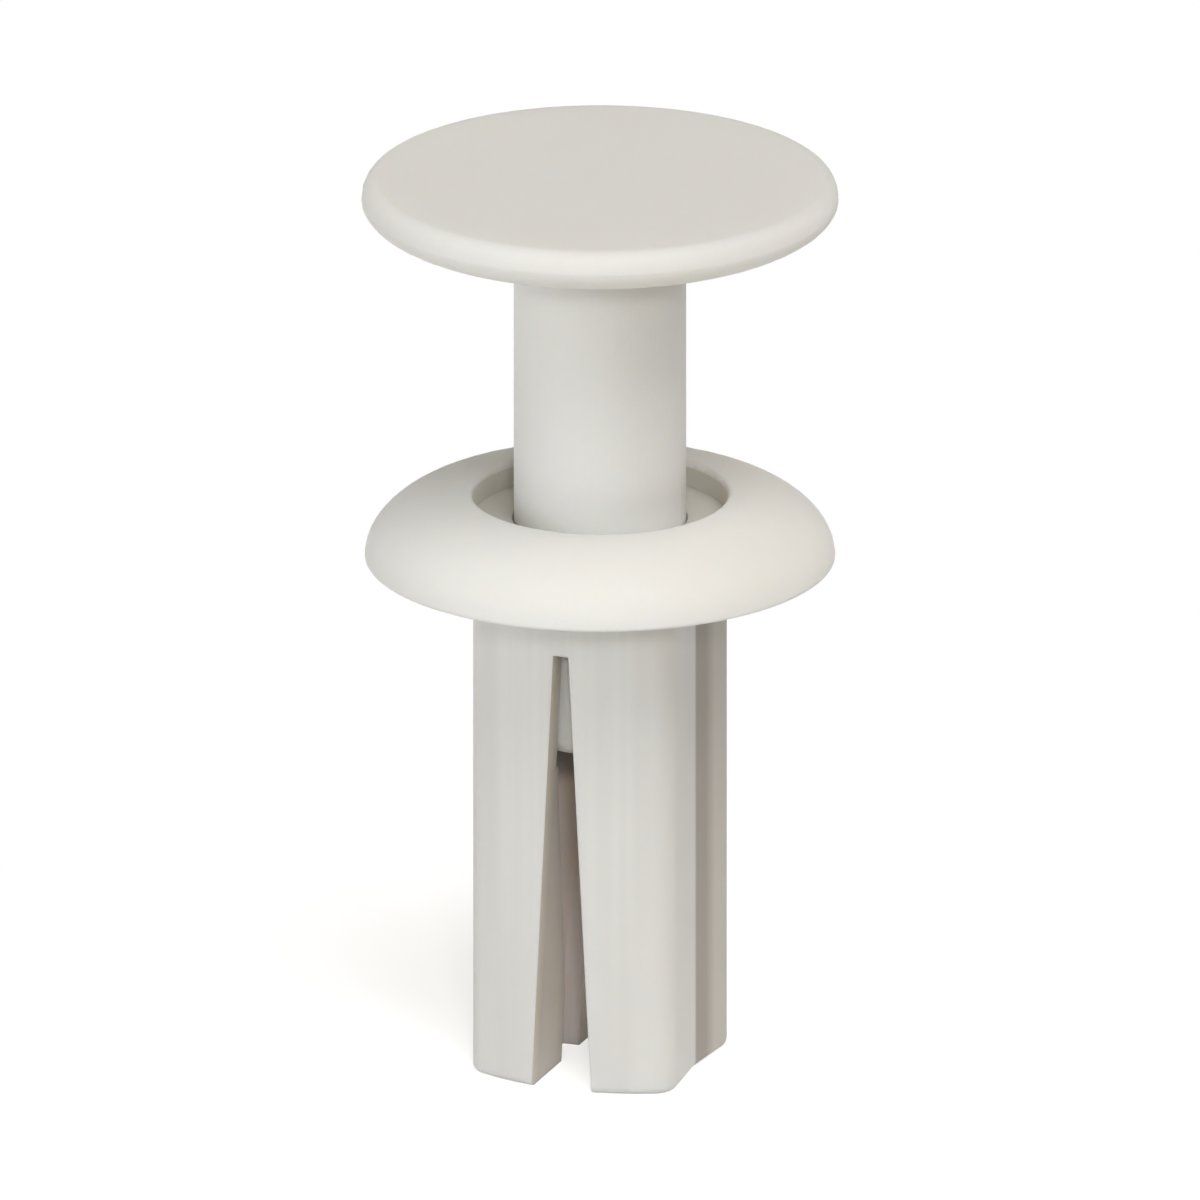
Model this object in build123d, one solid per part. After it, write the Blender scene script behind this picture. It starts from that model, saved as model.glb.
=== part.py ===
from build123d import *
import os

# Plastic push rivet in its open state: a flat-headed pin stands raised in a split grommet.
# Millimetres, +Z towards the pin's head. The origin is the centre of the face that seats
# on the panel, which is the underside of the grommet's collar. The slots face -Y and +Y.

# Pin
head_diameter = 7.46
head_thickness = 0.77
head_crown_reach = 0.25        # radial reach of the rounding above the rim
head_crown_drop = 0.33         # height of that rounding
head_belly_reach = 0.94        # radial reach of the longer rounding below the rim
pin_diameter = 2.70
pin_length = 8.38              # from under the head to the tip
pin_root_round = 0.08
pin_tip_round = 0.30
pin_travel = 4.38              # from raised, as moulded, to pushed home
head_seat_gap = 0.02           # left between the head and the collar when pushed home

# Collar of the grommet
collar_diameter = 7.36
collar_height = 1.07
collar_rim_round = 0.04
well_margin = 0.625            # width of the ledge round the bore at the bottom of the well
well_depth = 0.42
well_lip_round = 0.09

# Barrel of the grommet
barrel_length = 8.27           # from under the collar to the ends of the legs
face_wall = 0.406              # wall at the crown of the front and back faces
face_drop = 0.440              # how far a face falls back from its crown to the lobes
web_wall = 0.215               # wall at the bottom of the side valleys
lobe_rise = 0.110              # how far the lobes stand out beyond the valleys
lobe_round = 0.40
leg_end_round = 0.12

# Slots that part the barrel into two legs
slot_start = 1.09              # below the collar
slot_top_width = 0.25
slot_end_width = 0.99

# Inside of the barrel
pin_clearance = 0.025          # running fit of the pin in its bore, on the radius
shoulder_depth = 3.10          # below the collar, where the bore starts to narrow
shoulder_ledge = 0.08
taper_length = 4.0
throat_diameter = 1.70
throat_flats = 0.80            # across the flats of the throat, from front to back
cut_margin = 1.0               # overrun of every cut past the face it opens

# Sizes that follow from those above
pin_radius = pin_diameter / 2
bore_radius = pin_radius + pin_clearance
well_radius = bore_radius + well_margin
well_floor = collar_height - well_depth
head_seat = collar_height + head_seat_gap + pin_travel
head_belly_drop = head_thickness - head_crown_drop
face_crown = bore_radius + face_wall
lobe_depth = face_crown - face_drop
valley_depth = bore_radius + web_wall
lobe_width = valley_depth + lobe_rise
throat_top = shoulder_depth + taper_length


def revolved(profile):
    """A solid turned about Z from a closed profile drawn as (radius, height)."""
    return revolve(Plane.XZ * profile, Axis.Z)


def rounded(profile, radius, height, size):
    """The profile with its corner at (radius, height) rounded."""
    corner = profile.vertices().sort_by_distance((radius, height))[0]
    return fillet(corner, size)


def make_pin():
    """Flat round head on a plain shank with a rounded tip."""
    rim = head_diameter / 2
    rim_height = head_seat + head_belly_drop
    head_top = head_seat + head_thickness
    crown_edge = rim - head_crown_reach
    belly_edge = rim - head_belly_reach
    tip = head_seat - pin_length
    belly = EllipticalCenterArc((belly_edge, rim_height), head_belly_reach, head_belly_drop, 270)
    crown = EllipticalCenterArc((crown_edge, rim_height), head_crown_reach, head_crown_drop)
    top = Polyline((crown_edge, head_top), (0, head_top), (0, tip), (pin_radius, tip))
    side = Polyline((pin_radius, tip), (pin_radius, head_seat), (belly_edge, head_seat))
    profile = make_face(belly + crown + top + side)
    profile = rounded(profile, pin_radius, tip, pin_tip_round)
    profile = rounded(profile, pin_radius, head_seat, pin_root_round)
    return revolved(profile)


def make_collar():
    """Domed collar with a sunken well round the bore. The bore is cut later."""
    rim = collar_diameter / 2
    crest = well_radius + well_lip_round
    lip_height = collar_height - well_lip_round
    dome = EllipticalCenterArc((crest, 0), rim - crest, collar_height)
    lip = CenterArc((crest, lip_height), well_lip_round, 90, 90)
    well = Polyline((well_radius, lip_height), (well_radius, well_floor), (0, well_floor))
    underside = Polyline((0, well_floor), (0, 0), (rim, 0))
    collar = revolved(make_face(dome + lip + well + underside))
    seat_rim = collar.edges().filter_by(GeomType.CIRCLE).filter_by_position(Axis.Z, 0, 0)
    return fillet(seat_rim, collar_rim_round)


def barrel_section():
    """Crowned front and back faces, side faces with a shallow valley, and four round lobes."""
    front = ThreePointArc(
        (-lobe_width, -lobe_depth),
        (0, -face_crown),
        (lobe_width, -lobe_depth),
    )
    right = Polyline(
        (lobe_width, -lobe_depth),
        (valley_depth, 0),
        (lobe_width, lobe_depth),
    )
    outline = front + right + mirror(front, Plane.XZ) + mirror(right, Plane.YZ)
    section = make_face(outline)
    lobes = [v for v in section.vertices() if abs(v.Y) > lobe_depth / 2]
    return fillet(lobes, lobe_round)


def make_barrel():
    """The barrel's outer form, with its leg ends eased."""
    barrel = extrude(barrel_section(), -barrel_length)
    leg_ends = barrel.faces().sort_by(Axis.Z)[0].edges()
    return fillet(leg_ends, leg_end_round)


def bore_cut():
    """The pin's bore, from the well down to the shoulder where the barrel narrows."""
    length = well_floor + shoulder_depth
    return Pos(0, 0, -shoulder_depth) * extrude(Circle(bore_radius), length + cut_margin)


def throat_cut():
    """Below the shoulder the bore narrows to a throat with two flats, which the pin forces open."""
    mouth = bore_radius - shoulder_ledge
    end = barrel_length + cut_margin
    throat = throat_diameter / 2
    flat = throat_flats / 2
    cone = revolved(
        make_face(
            Polyline(
                (0, -shoulder_depth),
                (mouth, -shoulder_depth),
                (throat, -throat_top),
                (throat, -end),
                (0, -end),
                close=True,
            )
        )
    )
    wedge = make_face(
        Plane.YZ
        * Polyline(
            (-mouth, -shoulder_depth),
            (mouth, -shoulder_depth),
            (flat, -throat_top),
            (flat, -end),
            (-flat, -end),
            (-flat, -throat_top),
            close=True,
        )
    )
    return cone & extrude(wedge, mouth, both=True)


def slot_cut():
    """One slot through both faces, wider towards the leg ends."""
    top = slot_top_width / 2
    end = slot_end_width / 2
    spread = (end - top) / (barrel_length - slot_start)
    past_end = end + spread * cut_margin
    profile = make_face(
        Plane.XZ
        * Polyline(
            (-top, -slot_start),
            (top, -slot_start),
            (past_end, -barrel_length - cut_margin),
            (-past_end, -barrel_length - cut_margin),
            close=True,
        )
    )
    return extrude(profile, face_crown + cut_margin, both=True)


def make_grommet():
    """Collar and split barrel, moulded as one."""
    return make_collar() + make_barrel() - bore_cut() - throat_cut() - slot_cut()


def write_part(name, solid):
    solid.label = name
    export_step(solid, os.path.join("parts", name + ".step"))


os.makedirs("parts", exist_ok=True)
write_part("pin", make_pin())
write_part("grommet", make_grommet())
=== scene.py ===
import math

import bpy
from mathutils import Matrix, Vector


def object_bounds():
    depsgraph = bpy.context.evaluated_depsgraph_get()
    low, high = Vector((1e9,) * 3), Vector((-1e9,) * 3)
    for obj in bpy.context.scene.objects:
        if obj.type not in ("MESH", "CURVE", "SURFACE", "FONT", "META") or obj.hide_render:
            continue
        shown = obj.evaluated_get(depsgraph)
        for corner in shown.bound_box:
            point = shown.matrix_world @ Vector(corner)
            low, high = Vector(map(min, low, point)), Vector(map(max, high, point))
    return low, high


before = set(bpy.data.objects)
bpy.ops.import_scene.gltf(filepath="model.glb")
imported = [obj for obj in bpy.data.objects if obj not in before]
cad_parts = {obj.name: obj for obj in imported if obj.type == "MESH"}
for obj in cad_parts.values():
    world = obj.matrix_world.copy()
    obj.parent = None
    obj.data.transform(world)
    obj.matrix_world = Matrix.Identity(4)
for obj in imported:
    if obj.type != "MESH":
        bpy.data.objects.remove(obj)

MM = 0.001
cad_low, cad_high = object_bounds()

# Camera
CAMERA_AZIMUTH = 20.2
CAMERA_ELEVATION = 18.97
CAMERA_DISTANCE = 0.31
CAMERA_CLIP_START = 0.01
CAMERA_CLIP_END = 20
FRAME_WIDTH = 18.75 * MM
AIM_HEIGHT = -0.727 * MM

# Natural nylon. All colours are linear. Places on the rivet are in millimetres. A pair called
# a SPAN, FADE or TILT is where a change starts and where it is full.
NYLON_COOL = (0.82, 0.813, 0.785)
NYLON_WARM = (0.82, 0.805, 0.765)
CLOUDS_PER_MM = 0.45
CLOUD_DETAIL = 3
CLOUD_SPAN = (0.35, 0.65)         # values of the noise
WARM_SHARES = (0.2, 0.8)          # least and most

SPECULAR_LEVEL = 0.09
GLOSS_PATCHES_PER_MM = 1.3
GLOSS_PATCH_DETAIL = 2
GLOSS_PATCH_SPAN = (0.3, 0.7)     # values of the noise
ROUGHNESSES = (0.42, 0.54)        # least and most

SCATTER_SHARE = 0.5
SCATTER_RADIUS = (1.05, 0.90, 0.70)
SCATTER_SCALE = 0.6 * MM

# Relief of the nylon: draw lines down the upright faces, and a fine grain everywhere
DRAW_LINES_PER_MM = 7
DRAW_LINES_PER_MM_DOWN = 0.1
DRAW_LINE_DETAIL = 4
DRAW_LINE_RELIEF = 1.6            # against the grain's 1
NOISE_MIDDLE = 0.5
UPRIGHT_TILT = (0.5, 0.1)         # magnitude of the normal's Z, from sloping to upright
GRAIN_PER_MM = 22
GRAIN_DETAIL = 3
RELIEF_STRENGTH = 0.3
RELIEF_DEPTH = 0.01 * MM
EDGE_ROUND = 0.03 * MM
EDGE_SAMPLES = 2

# Pin: painted light, its shank paler towards the tip, away from the head's shade
TIP_LIGHT_TONE = (0.88, 0.872, 0.85)
TIP_FADE = (5.2, 1.2)

# Grommet: barrel, with painted shade under the collar, darker towards its leg ends, and faint
# painted facet shade on its lobes
BELOW_COLLAR = -0.01
BARREL_SHADE_TONE = (0.75, 0.742, 0.715)
BARREL_SHARE = 0.8
BARREL_STREAKS = 1.3              # how strongly the draw lines vary that share
LEG_END_SHADE_TONE = (0.70, 0.685, 0.66)
LEG_END_FADE = (-4.0, -8.5)
LOBE_FACET_SHADE_TONE = (0.735, 0.723, 0.695)
LOBE_SPAN = (1.04, 1.22)

# Grommet: painted shade, a dark band down each thin side of the barrel, where light leaks through
# the thin wall into the hollow inside. The painted shade lies on the half of each side towards the
# back slot.
SIDEWAYS_TILT = (0.45, 0.15)      # magnitude of the normal's Y, from facing forward to sideways
FLANK_SPAN = (1.3, 1.4)
WEB_SHADE_TONE = (0.595, 0.563, 0.52)
WEB_CREASE = (-0.06, 0.04)
WEB_DARKEST_SHADE_TONE = (0.40, 0.37, 0.335)
WEB_DARKEST_SHADE_FADE = (0.72, 0.38)

# Grommet: bore, painted paler and warmer for the light that glows through the thin walls, with
# painted shade just under the pin's tip, which gets little light
BORE_GLOW_TONE = (0.97, 0.88, 0.84)
BORE_REACH = 1.40
UNDER_TIP_SHADE_TONE = (0.60, 0.55, 0.51)
UNDER_TIP_SPAN = (-4.12, -3.90)

# Grommet: painted light and shade on the walls of the slots, pale and warm inside the barrel,
# darker out to the mouth
SLOT_GLOW_TONE = (0.90, 0.845, 0.765)
SLOT_MOUTH_SHADE_TONE = (0.60, 0.555, 0.495)
SLOT_MOUTH_SPAN = (0.75, 1.45)
SLOT_REACH = 0.60

# Grommet: painted shade in the well round the pin
WELL_SHADE_TONE = (0.70, 0.68, 0.625)
WELL_REACH = 2.02
WELL_BOTTOM = 0.5
WELL_LIP = 0.97

# Floor
FLOOR_REACH = 60 * MM
FLOOR_SIDES = 96
FLOOR_TONE = (0.86, 0.86, 0.85)
FLOOR_SPECK_TONE = (0.845, 0.845, 0.835)
FLOOR_SPECKS_PER_MM = 2
FLOOR_SPECK_DETAIL = 2
FLOOR_ROUGHNESS = 0.9
FLOOR_LIFT = 0.6
SHADOW_FADE = (5 * MM, 13 * MM)

# Soft light from all round
WORLD_STRENGTH = 0.125
WORLD_TONE = (1.0, 0.87, 0.65)

# Studio lamps
COOL = (0.92, 0.955, 1.0)
PLAIN = (1.0, 0.99, 0.98)
WARM = (1.0, 0.92, 0.82)
LAMPS = (
    # name, azimuth, elevation, distance, size, watts, colour
    ("high", 35, 60, 0.4, 0.25, 0.62, COOL),
    ("low_left", -45, 10, 0.4, 0.25, 0.505, COOL),
    ("right", 75, 60, 0.4, 0.25, 0.31, WARM),
    ("right_front", 45, 30, 0.4, 0.25, 0.232, COOL),
    ("front", 23, 24, 0.5, 0.05, 0.41, PLAIN),
    ("back_left", 245, -2, 0.4, 0.25, 0.13, PLAIN),
    ("back_right", 155, -2, 0.4, 0.25, 0.13, PLAIN),
)


def direction(azimuth, elevation):
    """Unit vector from the object towards a point at that azimuth and elevation."""
    a = math.radians(azimuth)
    e = math.radians(elevation)
    return Vector((math.sin(a) * math.cos(e), -math.cos(a) * math.cos(e), math.sin(e)))


def place_facing_object(thing, azimuth, elevation, distance, height=0):
    """Puts a camera or lamp at that distance, turned to the object's axis at that height."""
    back = direction(azimuth, elevation)
    thing.location = Vector((0, 0, height)) + back * distance
    thing.rotation_mode = "QUATERNION"
    thing.rotation_quaternion = (-back).to_track_quat("-Z", "Y")
    bpy.context.scene.collection.objects.link(thing)


def make_camera():
    camera = bpy.data.objects.new("camera", bpy.data.cameras.new("camera"))
    camera.data.type = "ORTHO"
    camera.data.ortho_scale = FRAME_WIDTH
    camera.data.clip_start = CAMERA_CLIP_START
    camera.data.clip_end = CAMERA_CLIP_END
    place_facing_object(camera, CAMERA_AZIMUTH, CAMERA_ELEVATION, CAMERA_DISTANCE, AIM_HEIGHT)
    bpy.context.scene.camera = camera


class Shading:
    """A material's or world's nodes, with short ways to add and join them."""

    def __init__(self, owner):
        owner.use_nodes = True
        self.tree = owner.node_tree

    def add(self, kind, **settings):
        node = self.tree.nodes.new("ShaderNode" + kind)
        for name, value in settings.items():
            setattr(node, name, value)
        return node

    def join(self, source, target):
        self.tree.links.new(source, target)

    def feed(self, value, socket):
        """Joins an output to the socket, or sets the socket to a plain number."""
        if isinstance(value, (int, float)):
            socket.default_value = value
        else:
            self.join(value, socket)

    def math(self, operation, first, second=0.0):
        node = self.add("Math", operation=operation)
        self.feed(first, node.inputs[0])
        self.feed(second, node.inputs[1])
        return node.outputs[0]

    def product(self, first, *others):
        for other in others:
            first = self.math("MULTIPLY", first, other)
        return first

    def magnitude(self, value):
        """The value without its sign."""
        return self.math("ABSOLUTE", value)

    def ramp(self, value, span, levels=(0.0, 1.0)):
        """The first level up to the span's start, the second from its end on, straight between."""
        node = self.add("MapRange")
        self.feed(value, node.inputs["Value"])
        node.inputs["From Min"].default_value = span[0]
        node.inputs["From Max"].default_value = span[1]
        node.inputs["To Min"].default_value = levels[0]
        node.inputs["To Max"].default_value = levels[1]
        return node.outputs["Result"]

    def blend(self, factor, first, second):
        """Mix of two colours, each an output or a plain (r, g, b)."""
        node = self.add("Mix", data_type="RGBA")
        self.feed(factor, node.inputs["Factor"])
        colours = [socket for socket in node.inputs if socket.type == "RGBA"]
        for value, socket in zip((first, second), colours):
            if isinstance(value, tuple):
                socket.default_value = value + (1,)
            else:
                self.join(value, socket)
        return next(socket for socket in node.outputs if socket.type == "RGBA")

    def mix(self, factor, first, second):
        """Mix of two shaders."""
        node = self.add("MixShader")
        self.join(factor, node.inputs[0])
        self.join(first.outputs[0], node.inputs[1])
        self.join(second.outputs[0], node.inputs[2])
        return node

    def scaled(self, vector, x, y, z):
        node = self.add("Mapping")
        self.join(vector, node.inputs["Vector"])
        node.inputs["Scale"].default_value = (x, y, z)
        return node.outputs["Vector"]

    def place(self):
        """The point's place on the object, in metres."""
        return self.add("TexCoord").outputs["Object"]

    def place_in_mm(self):
        return self.scaled(self.place(), 1 / MM, 1 / MM, 1 / MM)

    def noise(self, vector, scale, detail):
        node = self.add("TexNoise")
        self.join(vector, node.inputs["Vector"])
        node.inputs["Scale"].default_value = scale
        node.inputs["Detail"].default_value = detail
        return node.outputs["Fac"]

    def split(self, vector):
        node = self.add("SeparateXYZ")
        self.join(vector, node.inputs[0])
        return node.outputs

    def seen(self):
        """1 for rays from the camera, straight or by way of gloss or glass."""
        path = self.add("LightPath").outputs
        by_way = self.math("MAXIMUM", path["Is Glossy Ray"], path["Is Transmission Ray"])
        return self.math("MAXIMUM", path["Is Camera Ray"], by_way)


def nylon_tone(s, millimetres, draw):
    """Milky off-white that drifts a little between cool and warm."""
    cloud = s.noise(millimetres, CLOUDS_PER_MM, CLOUD_DETAIL)
    drift = s.math("ADD", s.ramp(cloud, CLOUD_SPAN, WARM_SHARES), draw)
    return s.blend(drift, NYLON_COOL, NYLON_WARM)


def pin_tone(s, millimetres, facing, draw, tone):
    """Adds painted light: the shank paler towards the tip, away from the head's shade."""
    height = s.split(millimetres)["Z"]
    return s.blend(s.ramp(height, TIP_FADE), tone, TIP_LIGHT_TONE)


def grommet_tone(s, millimetres, facing, draw, tone):
    """Adds the grommet's painted light and shade on its barrel, thin sides, bore, slots and well.
    """
    spot = s.split(millimetres)
    across = s.magnitude(spot["X"])
    depth = s.magnitude(spot["Y"])
    height = spot["Z"]
    radius = s.math("SQRT", s.math("ADD", s.product(across, across), s.product(depth, depth)))
    below_collar = s.math("LESS_THAN", height, BELOW_COLLAR)
    sideways = s.ramp(s.magnitude(s.split(facing)["Y"]), SIDEWAYS_TILT)

    # Painted shade: the barrel darker under the collar, varied by the draw lines, darker towards
    # the leg ends, with faint facet shade on the lobes
    streaked_shade = s.math("SUBTRACT", BARREL_SHARE, s.product(draw, BARREL_STREAKS))
    tone = s.blend(s.product(below_collar, streaked_shade), tone, BARREL_SHADE_TONE)
    tone = s.blend(s.ramp(height, LEG_END_FADE), tone, LEG_END_SHADE_TONE)
    tone = s.blend(s.product(s.ramp(across, LOBE_SPAN), below_collar), tone, LOBE_FACET_SHADE_TONE)

    # Painted shade: dark band on the thin sides, darkest just past the crease
    past_crease = s.ramp(spot["Y"], WEB_CREASE)
    darkest_shade = s.product(past_crease, s.ramp(spot["Y"], WEB_DARKEST_SHADE_FADE))
    web = s.blend(darkest_shade, WEB_SHADE_TONE, WEB_DARKEST_SHADE_TONE)
    on_web = s.product(sideways, below_collar, s.ramp(across, FLANK_SPAN), past_crease)
    tone = s.blend(on_web, tone, web)

    # Painted light inside the bore, with painted shade just under the pin's tip
    bore = s.blend(s.ramp(height, UNDER_TIP_SPAN), BORE_GLOW_TONE, UNDER_TIP_SHADE_TONE)
    tone = s.blend(s.math("LESS_THAN", radius, BORE_REACH), tone, bore)

    # Painted light and shade on the slot walls
    slot = s.blend(s.ramp(depth, SLOT_MOUTH_SPAN), SLOT_GLOW_TONE, SLOT_MOUTH_SHADE_TONE)
    in_slot = s.product(sideways, below_collar, s.math("LESS_THAN", across, SLOT_REACH))
    tone = s.blend(in_slot, tone, slot)

    # Painted shade in the well round the pin
    above_bottom = s.math("GREATER_THAN", height, WELL_BOTTOM)
    under_lip = s.math("LESS_THAN", height, WELL_LIP)
    in_well = s.product(s.math("LESS_THAN", radius, WELL_REACH), above_bottom, under_lip)
    return s.blend(in_well, tone, WELL_SHADE_TONE)


def make_nylon(name, extra_tone):
    """Natural nylon with faint draw lines down the moulding and a fine grain."""
    material = bpy.data.materials.new(name)
    s = Shading(material)
    shader = s.tree.nodes["Principled BSDF"]
    millimetres = s.place_in_mm()
    facing = s.add("NewGeometry").outputs["Normal"]
    upright = s.ramp(s.magnitude(s.split(facing)["Z"]), UPRIGHT_TILT)
    stretched = s.scaled(millimetres, DRAW_LINES_PER_MM, DRAW_LINES_PER_MM, DRAW_LINES_PER_MM_DOWN)
    lines = s.noise(stretched, 1.0, DRAW_LINE_DETAIL)
    draw = s.product(s.math("SUBTRACT", lines, NOISE_MIDDLE), upright)

    tone = extra_tone(s, millimetres, facing, draw, nylon_tone(s, millimetres, draw))
    s.join(tone, shader.inputs["Base Color"])
    patches = s.noise(millimetres, GLOSS_PATCHES_PER_MM, GLOSS_PATCH_DETAIL)
    s.join(s.ramp(patches, GLOSS_PATCH_SPAN, ROUGHNESSES), shader.inputs["Roughness"])
    shader.inputs["Specular IOR Level"].default_value = SPECULAR_LEVEL

    shader.subsurface_method = "RANDOM_WALK"
    shader.inputs["Subsurface Weight"].default_value = SCATTER_SHARE
    shader.inputs["Subsurface Radius"].default_value = SCATTER_RADIUS
    shader.inputs["Subsurface Scale"].default_value = SCATTER_SCALE

    edges = s.add("Bevel", samples=EDGE_SAMPLES)
    edges.inputs["Radius"].default_value = EDGE_ROUND
    relief = s.add("Bump")
    relief.inputs["Strength"].default_value = RELIEF_STRENGTH
    relief.inputs["Distance"].default_value = RELIEF_DEPTH
    grain = s.noise(millimetres, GRAIN_PER_MM, GRAIN_DETAIL)
    s.join(s.math("ADD", grain, s.product(draw, DRAW_LINE_RELIEF)), relief.inputs["Height"])
    s.join(edges.outputs["Normal"], relief.inputs["Normal"])
    s.join(relief.outputs["Normal"], shader.inputs["Normal"])
    return material


def dress(node_name, material):
    """Gives a CAD node its material."""
    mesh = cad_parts[node_name].data
    mesh.materials.clear()
    mesh.materials.append(material)


def make_floor_material():
    """Pale floor. The camera sees it lifted to white, with the soft shadow kept near the object."""
    material = bpy.data.materials.new("pale_floor")
    s = Shading(material)
    pale = s.tree.nodes["Principled BSDF"]
    pale.inputs["Roughness"].default_value = FLOOR_ROUGHNESS
    specks = s.noise(s.place_in_mm(), FLOOR_SPECKS_PER_MM, FLOOR_SPECK_DETAIL)
    s.join(s.blend(specks, FLOOR_TONE, FLOOR_SPECK_TONE), pale.inputs["Base Color"])

    lift = s.add("Emission")
    lift.inputs["Strength"].default_value = FLOOR_LIFT
    lifted = s.add("AddShader")
    s.join(pale.outputs[0], lifted.inputs[0])
    s.join(lift.outputs[0], lifted.inputs[1])

    out_from_middle = s.add("VectorMath", operation="LENGTH")
    s.join(s.place(), out_from_middle.inputs[0])
    fade = s.ramp(out_from_middle.outputs["Value"], SHADOW_FADE)
    seen_floor = s.mix(fade, lifted, s.add("Emission"))
    floor = s.mix(s.seen(), pale, seen_floor)
    s.join(floor.outputs[0], s.tree.nodes["Material Output"].inputs["Surface"])
    return material


def make_floor():
    """A round floor at the ends of the legs."""
    rim = []
    for i in range(FLOOR_SIDES):
        turn = 2 * math.pi * i / FLOOR_SIDES
        rim.append((FLOOR_REACH * math.cos(turn), FLOOR_REACH * math.sin(turn), 0))
    mesh = bpy.data.meshes.new("floor")
    mesh.from_pydata(rim, [], [list(range(FLOOR_SIDES))])
    mesh.materials.append(make_floor_material())
    floor = bpy.data.objects.new("floor", mesh)
    floor.location.z = cad_low[2]
    bpy.context.scene.collection.objects.link(floor)


def make_lamp(name, azimuth, elevation, distance, size, watts, colour):
    data = bpy.data.lights.new(name, "AREA")
    data.shape = "DISK"
    data.size = size
    data.energy = watts
    data.color = colour
    place_facing_object(bpy.data.objects.new(name, data), azimuth, elevation, distance)


def make_world():
    """Soft light from all round. The camera sees plain white."""
    world = bpy.data.worlds.new("studio")
    bpy.context.scene.world = world
    s = Shading(world)
    s.tree.nodes.clear()
    light = s.add("Background")
    light.inputs["Color"].default_value = WORLD_TONE + (1,)
    light.inputs["Strength"].default_value = WORLD_STRENGTH
    white = s.add("Background")
    white.inputs["Color"].default_value = (1, 1, 1, 1)
    sky = s.mix(s.seen(), light, white)
    s.join(sky.outputs[0], s.add("OutputWorld").inputs["Surface"])


make_camera()
make_world()
for lamp in LAMPS:
    make_lamp(*lamp)
make_floor()
dress("pin", make_nylon("pin_nylon", pin_tone))
dress("grommet", make_nylon("grommet_nylon", grommet_tone))
bpy.context.scene.view_settings.view_transform = "Standard"
